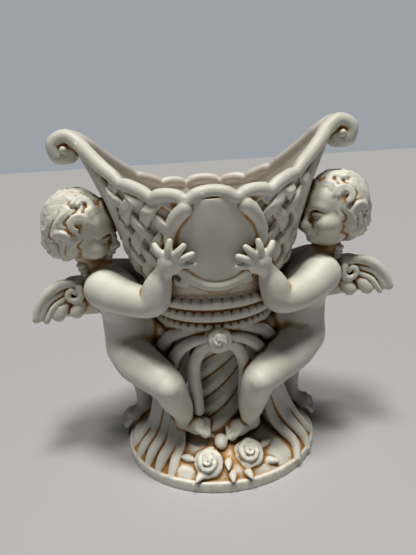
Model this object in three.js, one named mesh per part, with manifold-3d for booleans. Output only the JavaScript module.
// Two winged cherubs crouch on an oval draped base and hold a woven basket on a
// column of twisted cloth. The whole planter is one ceramic casting.
// Millimetres, +Z up, viewer at -Y, origin at the middle of the underside.
import * as THREE from "three";
import { mergeVertices } from "three/addons/utils/BufferGeometryUtils.js";
import Module from "manifold-3d";

const wasm = await Module();
wasm.setup();

// Base: an oval plinth edge with a low mound on it.
const baseLength = 171;
const baseDepth = 143;
const plinthEdge = 9;
const plinthLedge = 3;
const moundRise = 22;
// Column of twisted cloth between the mound and the basket.
const columnHeight = 95;
const columnWaistLength = 50;
const columnWaistDepth = 46;
// Basket: oval, open, flaring upwards, its two ends drawn up into spouts.
const basketFootLength = 92;
const basketFootDepth = 84;
const basketHeight = 104;
const rimLength = 160;
const rimDepth = 144;
const basketWall = 6;
const basketFloor = 9;
const spoutRise = 43;
const rimRoll = 4.6;
// Scrolls that end the spouts.
const scrollRadius = 9.5;
const scrollRoll = 5.6;
const scrollWidth = 24;
// Carving on the basket.
const medallionLength = 64;
const medallionHeight = 60;
const medallionRing = 4;
const medallionLift = 74;
const medallionShift = 2;
const bandCount = 3;
const bandPitch = 12.3;
const bandBulge = 3.6;
const weaveRows = 4;
const weaveDepth = 1.3;
const braids = 28;
// Cherubs: one height sets every proportion of the figure.
const figureHeight = 212;
const figureDrawnHeight = 212;

const baseTop = plinthEdge + moundRise;
const basketFoot = baseTop + columnHeight;
const rimLevel = basketFoot + basketHeight;
const figureScale = figureHeight / figureDrawnHeight;
const figureMiddle = rimLength / 2;

const point = (x, y, z) => new THREE.Vector3(x, y, z);
const mix = THREE.MathUtils.lerp;
const clamp = THREE.MathUtils.clamp;
const turn = 2 * Math.PI;

// A closed body through rings of points. Each ring turns counterclockwise about the way
// the rings run, and the two ends close on an apex.
function loft(rings, firstApex, lastApex) {
  const count = rings[0].length;
  const points = [...rings.flat(), firstApex, lastApex];
  const first = points.length - 2;
  const last = points.length - 1;
  const index = [];
  for (let i = 0; i < count; i++) {
    const j = (i + 1) % count;
    for (let k = 0; k + 1 < rings.length; k++) {
      const low = k * count;
      const high = low + count;
      index.push(low + i, low + j, high + j, low + i, high + j, high + i);
    }
    index.push(first, j, i);
    const end = (rings.length - 1) * count;
    index.push(last, end + i, end + j);
  }
  const geometry = new THREE.BufferGeometry().setFromPoints(points);
  geometry.setIndex(index);
  return geometry;
}

// A three.js geometry as a solid that can be joined and cut.
function solid(geometry) {
  const bare = geometry.clone();
  bare.deleteAttribute("normal");
  bare.deleteAttribute("uv");
  const merged = mergeVertices(bare, 1e-4);
  return new wasm.Manifold(
    new wasm.Mesh({
      numProp: 3,
      vertProperties: new Float32Array(merged.attributes.position.array),
      triVerts: new Uint32Array(merged.index.array),
    }),
  );
}

const fuse = (solids) => solids.reduce((all, one) => all.add(one));

// A geometry seen in a mirror across the YZ plane, with its faces turned to point out again.
function mirrored(geometry) {
  const copy = geometry.clone().scale(-1, 1, 1);
  const index = copy.getIndex();
  for (let i = 0; i < index.count; i += 3) {
    const b = index.getX(i + 1);
    index.setX(i + 1, index.getX(i + 2));
    index.setX(i + 2, b);
  }
  return copy;
}

// A body swept along a smooth line through stations [x, y, z, half-width, half-thickness].
// The half-width lies along the hint, and each end is domed.
function sweep(stations, { sides = 8, steps = stations.length - 1, hint = [0, 1, 0], dome = 0.7 } = {}) {
  const path = new THREE.CatmullRomCurve3(stations.map((s) => point(s[0], s[1], s[2])), false, "centripetal");
  const sizes = stations.map((s) => point(s[3], s[4] ?? s[3], 0));
  const rings = [];
  const ends = [];
  for (let k = 0; k <= steps; k++) {
    const t = k / steps;
    const at = t * (stations.length - 1);
    const before = Math.min(Math.floor(at), stations.length - 2);
    const size = sizes[before].clone().lerp(sizes[before + 1], at - before);
    const centre = path.getPoint(t);
    const along = path.getTangent(t);
    const across = point(...hint).addScaledVector(along, -point(...hint).dot(along)).normalize();
    const up = along.clone().cross(across);
    rings.push(
      Array.from({ length: sides }, (_, i) => {
        const angle = (i / sides) * turn;
        return centre
          .clone()
          .addScaledVector(across, size.x * Math.cos(angle))
          .addScaledVector(up, size.y * Math.sin(angle));
      }),
    );
    if (k === 0 || k === steps)
      ends.push(centre.addScaledVector(along, (k ? 1 : -1) * dome * Math.min(size.x, size.y)));
  }
  return loft(rings, ends[0], ends[1]);
}

// An ellipsoid of half-sizes [x, y, z] at a place.
function blob(place, half, { heading = 0, around = 6, over = 4 } = {}) {
  return new THREE.SphereGeometry(1, around, over)
    .scale(...half)
    .rotateZ(heading)
    .translate(...place);
}

// The basket's outline at a height above its foot: an oval whose half-length keeps growing
// into the spouts while its half-depth draws in above the rim.
const spoutFlare = 0.45;
const spoutTaper = 0.6;
function basketOval(height) {
  const share = clamp(height / basketHeight, 0, 1);
  const above = Math.max(height - basketHeight, 0);
  return {
    a: mix(basketFootLength / 2, rimLength / 2, share ** 0.95) + spoutFlare * above,
    b: mix(basketFootDepth / 2, rimDepth / 2, Math.sqrt(share)) - spoutTaper * above,
  };
}

// A point of the basket's outer wall. The angle is 0 at the front and a quarter turn at the
// right end, and out is how far the point stands proud of the wall.
function wallPoint(angle, height, out = 0) {
  const { a, b } = basketOval(height);
  return point((a + out) * Math.sin(angle), -(b + out) * Math.cos(angle), basketFoot + height);
}

// The same wall reached from a sideways place, for what leans on its front.
function wallAt(x, height, out = 0) {
  return wallPoint(Math.asin(clamp(x / basketOval(height).a, -1, 1)), height, out);
}

// How high the rim stands above the basket's foot at each angle.
const spoutSteepness = 4.3;
const rimHeight = (angle) => basketHeight + spoutRise * Math.abs(Math.sin(angle)) ** spoutSteepness;

// The outside of the basket: rolled bands waved so that neighbours interlock, then a woven
// wall that stays smooth behind the medallion and turns into flutes under the spouts.
function basketBody() {
  const rings = [];
  const ring = (pointAt) => Array.from({ length: braids }, (_, i) => pointAt((i / braids) * turn, i % 2 ? 1 : -1));
  rings.push(ring((angle) => wallPoint(angle, 0)));
  for (let band = 0; band < bandCount; band++) {
    const low = band * bandPitch;
    const wave = band % 2 ? -1 : 1;
    rings.push(ring((angle, even) => wallPoint(angle, low + (0.55 + 0.1 * wave * even) * bandPitch, bandBulge)));
    rings.push(ring((angle) => wallPoint(angle, low + bandPitch, 0.4)));
  }
  const weaveFoot = bandCount * bandPitch;
  for (let row = 1; row <= weaveRows; row++)
    rings.push(
      ring((angle, even) => {
        const height = mix(weaveFoot, rimHeight(angle), row / (weaveRows + 0.6));
        const { a } = basketOval(height);
        const behindMedallion = Math.abs(a * Math.sin(angle)) < medallionLength / 2 + medallionShift;
        const flute = Math.abs(Math.sin(angle)) > 0.86;
        const relief = behindMedallion ? 0 : even * (flute || row % 2 ? 1 : -1);
        return wallPoint(angle, height, weaveDepth * relief);
      }),
    );
  rings.push(ring((angle) => wallPoint(angle, rimHeight(angle))));
  return solid(loft(rings, point(0, 0, basketFoot), point(0, 0, rimLevel)));
}

// The room inside the basket, which runs past the rim so that it cuts the top open.
function basketHollow() {
  const segments = 26;
  const overshoot = 25;
  const rings = [0, 0.35, 1].map((share) =>
    Array.from({ length: segments }, (_, i) => {
      const angle = (i / segments) * turn;
      return wallPoint(angle, mix(basketFloor, rimHeight(angle), share), -basketWall);
    }),
  );
  rings.push(rings.at(-1).map((p) => p.clone().setZ(p.z + overshoot)));
  return solid(loft(rings, point(0, 0, basketFoot + basketFloor), point(0, 0, rimLevel + spoutRise + overshoot)));
}

// The spiral that ends a spout, as a point in the XZ plane.
const spoutTip = basketOval(basketHeight + spoutRise).a;
const scrollMiddle = { x: spoutTip + 5, z: rimLevel + spoutRise - 7.5 };
function scrollPoint(share) {
  const angle = mix(0.6, -1.05, share) * Math.PI;
  const radius = mix(scrollRadius, 0.42 * scrollRadius, share);
  return { x: scrollMiddle.x + radius * Math.cos(angle), z: scrollMiddle.z + radius * Math.sin(angle) };
}

// The rim: five scallops along the front or back, then up each spout to its scroll.
const scallopEnds = [0.215, 0.5, 0.74];
const scallopRise = [5, 3.8, 3];
function rimTube(front) {
  const half = [];
  const last = scrollPoint(0.25);
  half.push([last.x, 0.3 * scrollWidth, last.z, scrollRoll]);
  const top = scrollPoint(0);
  half.push([top.x, 0.3 * scrollWidth, top.z, scrollRoll]);
  for (const share of [0.97, 0.9, 0.82]) {
    const angle = Math.asin(share);
    const p = wallPoint(angle, rimHeight(angle) + 1, -basketWall / 2);
    half.push([p.x, Math.max(-p.y, 0.3 * scrollWidth), p.z, mix(rimRoll, scrollRoll, (share - 0.74) / 0.26)]);
  }
  for (let scallop = 2; scallop >= 0; scallop--) {
    const from = scallopEnds[scallop];
    const to = scallop ? scallopEnds[scallop - 1] : 0;
    for (const share of scallop ? [0, 0.3, 0.7] : [0, 0.4]) {
      const angle = Math.asin(mix(from, to, share));
      const arch = Math.sin(share * Math.PI * (scallop ? 1 : 0.5));
      const p = wallPoint(angle, rimHeight(angle) + scallopRise[scallop] * arch - 1, -basketWall / 2);
      half.push([p.x, -p.y, p.z, share ? rimRoll : 0.85 * rimRoll]);
    }
  }
  const middle = wallPoint(0, basketHeight + scallopRise[0] - 1, -basketWall / 2);
  const side = front ? -1 : 1;
  const stations = [...half, [0, -middle.y, middle.z, rimRoll], ...half.map(([x, ...rest]) => [-x, ...rest]).reverse()];
  return solid(sweep(stations.map(([x, y, z, r]) => [x, side * y, z, r]), { sides: 5, hint: [0, 1, 0.2], dome: 0.9 }));
}

// The broad roll of one scroll, from the spout's inside round to its eye.
function scroll(side) {
  const steps = 7;
  const stations = [];
  for (let k = 0; k <= steps; k++) {
    const p = scrollPoint(k / steps);
    stations.push([side * p.x, 0, p.z, mix(0.5, 0.42, k / steps) * scrollWidth, 0.75 * scrollRoll]);
  }
  return solid(sweep(stations, { sides: 6 }));
}

// The ring round the medallion, lying on the wall and open below the middle scallop.
function medallionFrame(front) {
  const stations = [];
  const steps = 12;
  const gap = 0.15;
  for (let k = 0; k <= steps; k++) {
    const angle = mix(gap, 1 - gap, k / steps) * turn;
    const height = medallionLift + (medallionHeight / 2) * Math.cos(angle);
    const p = wallAt(medallionShift + (medallionLength / 2) * Math.sin(angle), height, 0.3 * medallionRing);
    stations.push([p.x, front ? p.y : -p.y, p.z, medallionRing * (k % steps ? 1 : 1.1)]);
  }
  return solid(sweep(stations, { sides: 5, dome: 0.9 }));
}

// The mound's skin: a low dome with ridges of cloth that run out over its two ends.
const folds = [
  { from: [-0.42, 0.15], to: [-0.5, -0.84] },
  { from: [-0.42, 0.15], to: [-0.7, -0.66] },
  { from: [-0.42, 0.15], to: [-0.86, -0.4] },
  { from: [-0.42, 0.15], to: [-0.93, -0.08] },
  { from: [0.5, 0.1], to: [0.64, -0.7] },
  { from: [0.5, 0.1], to: [0.88, -0.3] },
  { from: [-0.4, 0.4], to: [-0.76, 0.6] },
  { from: [0.4, 0.4], to: [0.76, 0.6] },
  { from: [-0.15, 0.4], to: [-0.28, 0.9] },
  { from: [0.15, 0.4], to: [0.28, 0.9] },
];
const foldWidth = 6;
const foldHeight = 6;
function moundHeight(x, y) {
  const across = x / (baseLength / 2);
  const along = y / (baseDepth / 2);
  const share = Math.min(Math.hypot(across, along), 1);
  let height = plinthEdge + moundRise * (1 - share ** 3);
  for (const { from, to } of folds) {
    const run = [to[0] - from[0], to[1] - from[1]];
    const t = clamp(((across - from[0]) * run[0] + (along - from[1]) * run[1]) / (run[0] ** 2 + run[1] ** 2), 0, 1);
    const gap = Math.hypot(
      ((across - from[0] - t * run[0]) * baseLength) / 2,
      ((along - from[1] - t * run[1]) * baseDepth) / 2,
    );
    height += foldHeight * t * Math.exp(-((gap / foldWidth) ** 2));
  }
  return height;
}

// The base: a flat underside, an upright plinth edge, a ledge and the mound.
function base() {
  const segments = 30;
  const oval = (inset, z) =>
    Array.from({ length: segments }, (_, i) => {
      const angle = (i / segments) * turn;
      return point((baseLength / 2 - inset) * Math.cos(angle), (baseDepth / 2 - inset) * Math.sin(angle), z);
    });
  const rings = [oval(0, 0), oval(0, plinthEdge - 1), oval(plinthLedge, plinthEdge)];
  for (const share of [0.88, 0.66])
    rings.push(oval(0, 0).map(({ x, y }) => point(share * x, share * y, moundHeight(share * x, share * y))));
  return solid(loft(rings, point(0, 0, 0), point(0, 0, plinthEdge + moundRise)));
}

// Column: cloth twisted round a waist, flaring to the mound and to the basket's foot. Each
// level is turned on from the one below, so the edges of the facets run along the pleats.
function column() {
  const pleats = 6;
  const pleatDepth = 2.6;
  const segments = 3 * pleats;
  const levels = 8;
  const twist = 4.2;
  const sunk = 6;
  const flareReach = 21;
  const rings = [];
  for (let k = 0; k <= levels; k++) {
    const share = k / levels;
    const flare = flareReach * Math.abs(2 * share - 0.95) ** 2.2;
    rings.push(
      Array.from({ length: segments }, (_, i) => {
        const angle = (i / segments) * turn + twist * share;
        const ridge = pleatDepth * Math.cos((pleats * i * turn) / segments);
        return point(
          (columnWaistLength / 2 + flare + ridge) * Math.cos(angle),
          (columnWaistDepth / 2 + flare + ridge) * Math.sin(angle),
          mix(baseTop - sunk, basketFoot + 2, share),
        );
      }),
    );
  }
  return solid(loft(rings, point(0, 0, baseTop - sunk), point(0, 0, basketFoot + 2)));
}

// A rose: rings of petals that step up to a bud, facing a direction.
function rose(place, size, facing) {
  const segments = 8;
  const out = point(...facing).normalize();
  const across = point(0, 0, 1).cross(out).normalize();
  const up = out.clone().cross(across);
  const at = (reach, lift) => point(...place).addScaledVector(out, lift * size).add(reach);
  const petals = [
    { radius: 0.75, lift: -0.45, phase: 0 },
    { radius: 1, lift: 0, phase: 0 },
    { radius: 0.6, lift: 0.28, phase: 1 },
    { radius: 0.36, lift: 0.5, phase: 0 },
  ];
  const rings = petals.map(({ radius, lift, phase }) =>
    Array.from({ length: segments }, (_, i) => {
      const lobe = radius * size * (1 + ((i + phase) % 2 ? 0.1 : -0.1));
      const angle = (i / segments) * turn;
      return at(
        across.clone().multiplyScalar(lobe * Math.cos(angle)).addScaledVector(up, lobe * Math.sin(angle)),
        lift,
      );
    }),
  );
  return solid(loft(rings, at(point(0, 0, 0), -0.7), at(point(0, 0, 0), 0.56)));
}

// Swags of cloth that fall from the rose over the shoulders of the column, and the cloth
// that hangs behind each near leg from the column's top down to the mound, gathered in a
// bunch between the column and the lap. Heights are measured from the mound's top.
function swags() {
  const falls = [
    [
      [6, -51, 90, 4, 3.6],
      [17, -45, 77, 5, 5],
      [21, -37, 55, 5, 5.4],
      [19, -31, 18, 5, 5],
    ],
    [
      [7, -51, 94, 4, 3.4],
      [28, -42, 82, 5, 5],
      [39, -29, 60, 5, 5.4],
    ],
    [
      [8, -46, 99, 4, 3.4],
      [36, -33, 89, 5, 5.2],
      [50, -16, 63, 5, 5.6],
    ],
  ];
  const hanging = [
    [14, -12, 92, 15, 10],
    [32, -16, 74, 14, 11],
    [38, -16, 50, 13, 12],
    [46, -15, 24, 14, 13],
    [52, -18, -4, 16, 14],
  ];
  const solids = [];
  for (const side of [-1, 1])
    for (const stations of [...falls, hanging])
      solids.push(
        solid(
          sweep(
            stations.map(([x, y, z, ...sizes]) => [side * x, y, baseTop + z, ...sizes]),
            { sides: stations === hanging ? 6 : 4, hint: stations === hanging ? [0, 1, 0] : [1, 0, 0] },
          ),
        ),
      );
  for (const side of [-1, 1]) solids.push(solid(blob([side * 46, -8, baseTop + 85], [17, 14, 13])));
  return fuse(solids);
}

// The roses and leaves: one rose on the column, two with a bud on the front of the mound.
const roseSize = 10.5;
function flowers() {
  const onMound = (across, along, lift) => {
    const x = across * (baseLength / 2);
    const y = along * (baseDepth / 2);
    return [x, y, moundHeight(x, y) + lift];
  };
  const leaves = [
    { across: -0.34, along: -0.78, heading: 0.5 },
    { across: 0.02, along: -0.92, heading: 1.6 },
    { across: 0.36, along: -0.62, heading: 2.2 },
    { across: 0.26, along: -0.92, heading: 0.2 },
  ];
  return fuse([
    rose([0, -(columnWaistDepth / 2 + 28), basketFoot - 2], roseSize, [0, -1, 0.25]),
    rose(onMound(-0.16, -0.82, 4), roseSize, [0, -0.7, 1]),
    rose(onMound(0.23, -0.75, 4), roseSize, [0, -0.7, 1]),
    solid(blob(onMound(-0.04, -0.57, 2), [6, 6, 7])),
    ...leaves.map(({ across, along, heading }) => solid(blob(onMound(across, along, 1), [6.5, 3.6, 3], { heading, around: 5, over: 3 }))),
  ]);
}

// Figure stations are drawn for a height of 212 with x outwards from the figure's middle,
// y towards the back and z up from the mound's top. They scale with the figure's height.
const inFigure = ([x, y, z, ...sizes]) => [
  figureMiddle + x * figureScale,
  y * figureScale,
  baseTop + z * figureScale,
  ...sizes.map((s) => s * figureScale),
];
const figurePlane = -8;
const swapDepth = ([x, y, ...rest]) => [x, 2 * figurePlane - y, ...rest];

function torso() {
  const stations = [
    [-5, -6, 64, 20, 15],
    [-6, -7, 77, 24, 19],
    [-8, -8, 94, 23, 21],
    [-6, -8, 112, 21, 19],
    [0, -8, 126, 23, 16],
    [6, -8, 136, 15, 11.5],
    [13, -8, 150, 10.5, 10.5],
    [18, -9, 162, 10, 10],
  ];
  return sweep(stations.map(inFigure), { sides: 9 });
}

// Where a palm lies on the basket, in front or behind.
const palmReach = 28;
const palmHeight = medallionLift - 13;
const onWall = (near, x, height, out) => {
  const p = wallAt(x, height, out);
  return [p.x, near ? p.y : -p.y, p.z];
};

function arm(near) {
  const bones = [
    [5, -25, 130, 15.5],
    [-15, -42, 125, 13],
    [-34, -54, 125, 11],
  ].map((s) => inFigure(near ? s : swapDepth(s)));
  const palm = onWall(near, palmReach, palmHeight, 5.5);
  const wrist = onWall(near, palmReach + 5, palmHeight - 9, 6);
  const forearm = bones[2].slice(0, 3).map((value, i) => mix(value, wrist[i], 0.5));
  const knuckles = onWall(near, palmReach - 3, palmHeight + 5, 5);
  const sized = (place, ...sizes) => [...place, ...sizes.map((size) => size * figureScale)];
  return sweep([...bones, sized(forearm, 9.8), sized(wrist, 7), sized(palm, 5, 8), sized(knuckles, 3.6, 8)], {
    sides: near ? 7 : 6,
    hint: [0, 1, 0],
  });
}

// Five fingers spread from the palm over the medallion's frame.
function fingers(near) {
  const tips = [
    [8, 11],
    [-1, 14],
    [-8.5, 11],
    [-13, 5.5],
    [-14, -1.5],
  ];
  return tips.map(([dx, dz]) => {
    const stations = [0.4, 1].map((share, k) => {
      const reach = share * figureScale;
      const place = onWall(near, palmReach + dx * reach, palmHeight + dz * reach, 5.5 - 0.5 * k);
      return [...place, [2.8, 2.1][k] * figureScale];
    });
    return sweep(stations, { sides: 4, dome: 1 });
  });
}

function leg(near, kneeOut) {
  const stations = near
    ? [
        [-7, -16, 75, 18],
        [-20 + 0.5 * kneeOut, -32, 70, 17.5],
        [-40 + 0.8 * kneeOut, -47, 63, 14.5],
        [-50 + kneeOut, -52, 57, 13.5],
        [-53 + 0.8 * kneeOut, -48, 44, 12],
        [-56 + 0.4 * kneeOut, -43, 28, 10],
        [-57, -38, 15, 8],
        [-54, -34, 6, 7.5],
      ]
    : [
        [-4, 6, 74, 17.5],
        [-8, 22, 58, 15],
        [-12, 28, 43, 12.5],
        [-7, 26, 28, 11],
        [-8, 22, 11, 8],
        [-8, 20, -3, 7],
      ];
  return sweep(stations.map(inFigure), { sides: near ? 7 : 6, hint: [0, 1, 0.3] });
}

// A foot: the sole from the heel to the row of small toes, and the big toe beside them.
function foot(near) {
  const heel = near ? [-52, -34, 3] : [-6, 20, -8];
  const ball = near ? [-67, -39, 1.5] : [-23, 24, -3];
  const beyond = (share, across = 0) => heel.map((value, i) => mix(value, ball[i], share) + (i === 1 ? across : 0));
  const sole = [
    [...heel, 7, 6.5],
    [...beyond(0.55), 7, 6.5],
    [...ball, 8, 5],
    [...beyond(1.35, -1.5), 6, 3],
  ];
  const toe = [
    [...beyond(1.1, 5), 3.4, 3.4],
    [...beyond(1.5, 5.5), 2.8, 2.8],
  ];
  return [sweep(sole.map(inFigure), { sides: 6 }), sweep(toe.map(inFigure), { sides: 5 })];
}

// A wing: a thin blade with a thick leading edge above and three rounded feather tips below.
// Each row is x, lean away from the body, top, bottom and half-thickness.
function wing(near, rise) {
  const away = near ? -1 : 1;
  const rows = [
    [12, 0, 122, 107, 5],
    [20, 2, 131, 102, 6],
    [27, 3.5, 134, 97, 6],
    [34, 4.5, 135, 102, 5.5],
    [41, 6, 134, 96, 5],
    [47, 7.5, 131, 101, 4.6],
    [53, 9, 127, 98, 4.2],
    [58, 10, 120, 101, 3.8],
    [62, 10.5, 110, 102, 3],
  ];
  const rings = rows.map(([x, lean, high, low, thick]) => {
    const y = figurePlane + away * (6 + lean);
    return [
      [y + thick, high - 6],
      [y, high],
      [y - thick, high - 6],
      [y - 0.5 * thick, low + 3],
      [y, low],
      [y + 0.5 * thick, low + 3],
    ].map(([depth, z]) => point(...inFigure([x, depth, z + rise])));
  });
  const apex = (x, lean, z) => point(...inFigure([x, figurePlane + away * (6 + lean), z + rise]));
  return [loft(rings, apex(9, 0, 114), apex(64, 11, 106))];
}

// The farthest skin of a set of ellipsoids in one direction from their middle.
function reach(direction, ellipsoids) {
  let farthest = 0;
  for (const { at, half } of ellipsoids) {
    const h = point(...half);
    const d = direction.clone().divide(h);
    const c = point(...at).divide(h);
    const a = d.lengthSq();
    const b = d.dot(c);
    const inside = b * b - a * (c.lengthSq() - 1);
    if (inside > 0) farthest = Math.max(farthest, (b + Math.sqrt(inside)) / a);
  }
  return farthest;
}

// A head: skull, face and features as one skin round the skull's middle, with locks of hair
// that stand out above the brow and behind the ears. It is built upright, facing -Y.
const headForms = [
  { at: [0, 3, 2], half: [26.5, 27, 26.5] },
  { at: [0, -9, -10], half: [21.5, 20, 21] },
  { at: [-11, -18, -14], half: [9.5, 9.5, 9.5] },
  { at: [11, -18, -14], half: [9.5, 9.5, 9.5] },
  { at: [0, -24, -26], half: [7, 6.5, 6] },
  { at: [0, -30, -10], half: [4, 5.6, 4.6] },
  { at: [0, -26, -3], half: [2.6, 4.4, 8] },
  { at: [0, -27, -18.5], half: [5.5, 4.6, 3] },
  { at: [-9, -23, 5], half: [7.5, 4.6, 3.4] },
  { at: [9, -23, 5], half: [7.5, 4.6, 3.4] },
  { at: [-24, 0, -8], half: [4, 6.5, 8.5] },
  { at: [24, 0, -8], half: [4, 6.5, 8.5] },
];
const lockLift = 2.6;
const headSize = 0.93;
function head({ face, crown, middle }) {
  const bearings = [0, 11, 24, 42, 66, 94, 134];
  const around = [...bearings, 180, ...bearings.slice(1).map((b) => 360 - b).reverse()];
  const levels = [-64, -44, -30, -18, -7, 4, 16, 32, 52];
  const skin = (bearing, level, lock) => {
    const a = THREE.MathUtils.degToRad(bearing);
    const e = THREE.MathUtils.degToRad(level);
    const direction = point(Math.sin(a) * Math.cos(e), -Math.cos(a) * Math.cos(e), Math.sin(e));
    return direction.multiplyScalar(reach(direction, headForms) + lock);
  };
  const rings = levels.map((level, k) =>
    around.map((bearing, i) => {
      const fromFace = Math.min(bearing, 360 - bearing);
      const haired = level > 20 || (fromFace > 85 && level > -35);
      return skin(bearing, level, haired ? lockLift * (0.6 + 0.4 * Math.sin(2.6 * i + 1.7 * k)) : 0);
    }),
  );
  const shape = loft(rings, skin(0, -90, 0), skin(0, 90, lockLift));
  const forward = point(...face).normalize();
  const top = point(...crown).addScaledVector(forward, -point(...crown).dot(forward)).normalize();
  const back = forward.clone().negate();
  const pose = new THREE.Matrix4()
    .makeBasis(back.clone().cross(top), back, top)
    .scale(point(1, 1, 1).multiplyScalar(figureScale * headSize))
    .setPosition(...inFigure(middle));
  return shape.applyMatrix4(pose);
}

// One cherub, drawn on the right and mirrored for the left. Only the turn of the head, the
// height of the wings and the place of the near knee differ.
function cherub(side) {
  const look =
    side > 0
      ? { face: [-0.93, -0.36, -0.08], crown: [-0.11, 0.05, 0.99], middle: [20.5, -8, 180], wingRise: 4, kneeOut: 0 }
      : { face: [-0.95, -0.08, -0.27], crown: [-0.27, -0.24, 0.93], middle: [21.5, -8, 178.5], wingRise: -1, kneeOut: 7 };
  const geometries = [torso(), head(look)];
  for (const near of [true, false]) geometries.push(arm(near), leg(near, look.kneeOut), ...fingers(near), ...foot(near), ...wing(near, look.wingRise));
  return fuse(geometries.map((geometry) => solid(side > 0 ? geometry : mirrored(geometry))));
}

function planter() {
  const outside = fuse([
    base(),
    column(),
    swags(),
    flowers(),
    basketBody(),
    medallionFrame(true),
    medallionFrame(false),
    cherub(1),
    cherub(-1),
  ]);
  return fuse([outside.subtract(basketHollow()), rimTube(true), rimTube(false), scroll(1), scroll(-1)]);
}

const mesh = planter().getMesh();
const geometry = new THREE.BufferGeometry();
geometry.setAttribute("position", new THREE.BufferAttribute(mesh.vertProperties, 3));
geometry.setIndex(new THREE.BufferAttribute(mesh.triVerts, 1));
geometry.computeVertexNormals();

const bisque = new THREE.MeshStandardMaterial({ color: "#cfc7b6", roughness: 0.62, metalness: 0 });
const statue = new THREE.Mesh(geometry, bisque);
statue.name = "cherub_planter";

const part = new THREE.Group();
part.add(statue);

export default part;
